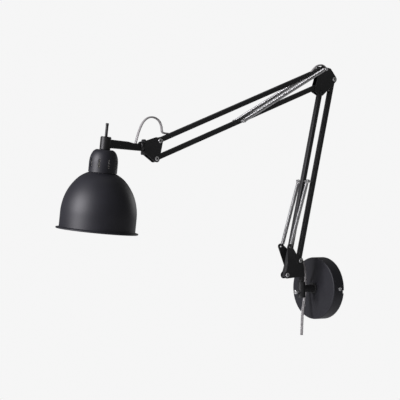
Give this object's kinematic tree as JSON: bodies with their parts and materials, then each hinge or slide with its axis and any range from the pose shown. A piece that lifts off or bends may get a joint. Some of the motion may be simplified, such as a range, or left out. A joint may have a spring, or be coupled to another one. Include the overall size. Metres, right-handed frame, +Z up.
{
  "type": "articulating wall lamp",
  "caption": "Wall lamp with two spring-balanced parallel-link arms, an upright swivel on a round canopy and a spun shade on a rolling head.",
  "frame": {"origin": "centre of the canopy's back, on the wall plane", "axes": "+X to the lamp's right seen from the room with bolt heads on +X, -Y out from the wall into the room, +Z up"},
  "size_m": [0.137, 0.5817, 0.4831],
  "materials": {
    "black_paint": "satin black powder paint",
    "shade_paint": "matt black paint",
    "black_moulding": "moulded black plastic, fine grain",
    "holder_ceramic": "pale glazed ceramic",
    "bright_steel": "bright zinc plate",
    "spring_steel": "drawn spring wire",
    "plain_steel": "zinc plate",
    "nylon": "natural nylon",
    "lead_sheath": "grey twin lead sheath"
  },
  "bodies": {
    "wall_base": {"canopy": "black_paint", "wall_plate": "plain_steel", "canopy_screws": "bright_steel", "swivel_barrel": "black_paint", "stub_nut": "plain_steel", "clamp_screw": "bright_steel", "power_cord": "lead_sheath"},
    "swivel_base": {"swivel_pin": "black_paint", "base_fork": "black_paint", "base_fork_bolts": "bright_steel", "base_fork_nuts": "plain_steel"},
    "lower_front": {"lower_front_tube": "black_paint", "lower_front_bushes": "nylon", "lower_spring_pin": "bright_steel", "lower_spring_near": "spring_steel", "lower_spring_far": "spring_steel"},
    "lower_rear": {"lower_rear_tube": "black_paint", "lower_rear_bushes": "nylon", "lower_lead": "lead_sheath"},
    "elbow": {"elbow_near_plate": "black_paint", "elbow_far_plate": "black_paint", "elbow_rear_bolt": "bright_steel", "elbow_front_bolt": "black_paint", "elbow_nuts": "plain_steel", "elbow_rivet": "black_paint", "elbow_spring_bolt": "bright_steel"},
    "upper_top": {"upper_top_tube": "black_paint", "upper_top_bushes": "nylon", "upper_lead": "lead_sheath", "elbow_lead": "lead_sheath"},
    "upper_bottom": {"upper_bottom_tube": "black_paint", "upper_bottom_bushes": "nylon", "upper_spring_pin": "bright_steel", "upper_spring_near": "spring_steel", "upper_spring_far": "spring_steel"},
    "head": {"head_bracket": "black_paint", "head_bolts": "bright_steel", "head_nuts": "plain_steel", "head_lead": "lead_sheath"},
    "head_swing": {"head_arm": "black_moulding", "roll_bolt": "plain_steel"},
    "shade": {"neck_tube": "black_moulding", "neck_nut": "plain_steel", "shade_cap": "shade_paint", "shade_dome": "shade_paint", "lampholder": "holder_ceramic", "holder_ring": "holder_ceramic"},
    "switch": {"switch_rod": "black_moulding"}
  },
  "joints": [
    {"name": "base_swivel", "type": "hinge", "parent": "wall_base", "child": "swivel_base", "pos_m": [0, -0.051, 0.012], "axis": [0, 0, 1], "range_deg": [-85, 85], "deforming": ["power_cord"]},
    {"name": "lower_arm_lean", "type": "hinge", "parent": "swivel_base", "child": "lower_rear", "pos_m": [0, -0.0585, 0.05], "axis": [1, 0, 0], "range_deg": [-8, 75]},
    {"name": "lower_arm_follow", "type": "hinge", "parent": "swivel_base", "child": "lower_front", "pos_m": [0, -0.089, 0.025], "axis": [1, 0, 0], "range_deg": [-8, 75], "deforming": ["lower_spring_near", "lower_spring_far"]},
    {"name": "elbow_level", "type": "hinge", "parent": "lower_rear", "child": "elbow", "pos_m": [0, 0.02287, 0.37394], "axis": [1, 0, 0], "range_deg": [-75, 8]},
    {"name": "upper_arm_lean", "type": "hinge", "parent": "elbow", "child": "upper_top", "pos_m": [0, -0.00523, 0.39014], "axis": [1, 0, 0], "range_deg": [-60, 30], "deforming": ["elbow_lead"]},
    {"name": "upper_arm_follow", "type": "hinge", "parent": "elbow", "child": "upper_bottom", "pos_m": [0, -0.01213, 0.36034], "axis": [1, 0, 0], "range_deg": [-60, 30], "deforming": ["upper_spring_near", "upper_spring_far"]},
    {"name": "head_level", "type": "hinge", "parent": "upper_top", "child": "head", "pos_m": [0, -0.36946, 0.25439], "axis": [1, 0, 0], "range_deg": [-30, 60], "deforming": ["head_lead"]},
    {"name": "head_roll", "type": "hinge", "parent": "head", "child": "head_swing", "pos_m": [0, -0.4013, 0.24332], "axis": [0, -0.9983, 0.0576], "range_deg": [-85, 95]},
    {"name": "shade_turn", "type": "hinge", "parent": "head_swing", "child": "shade", "pos_m": [0, -0.47697, 0.24768], "axis": [0.0872, 0.0573, 0.9945], "range_deg": [-170, 170]},
    {"name": "switch_turn", "type": "hinge", "parent": "shade", "child": "switch", "pos_m": [0.00188, -0.47574, 0.26917], "axis": [0.0872, 0.0573, 0.9945], "range_deg": [0, 90]}
  ],
  "couplings": [
    {"joint": "lower_arm_follow", "follows": "lower_arm_lean", "ratio": 1},
    {"joint": "elbow_level", "follows": "lower_arm_lean", "ratio": -1},
    {"joint": "upper_arm_follow", "follows": "upper_arm_lean", "ratio": 1},
    {"joint": "head_level", "follows": "upper_arm_lean", "ratio": -1}
  ]
}
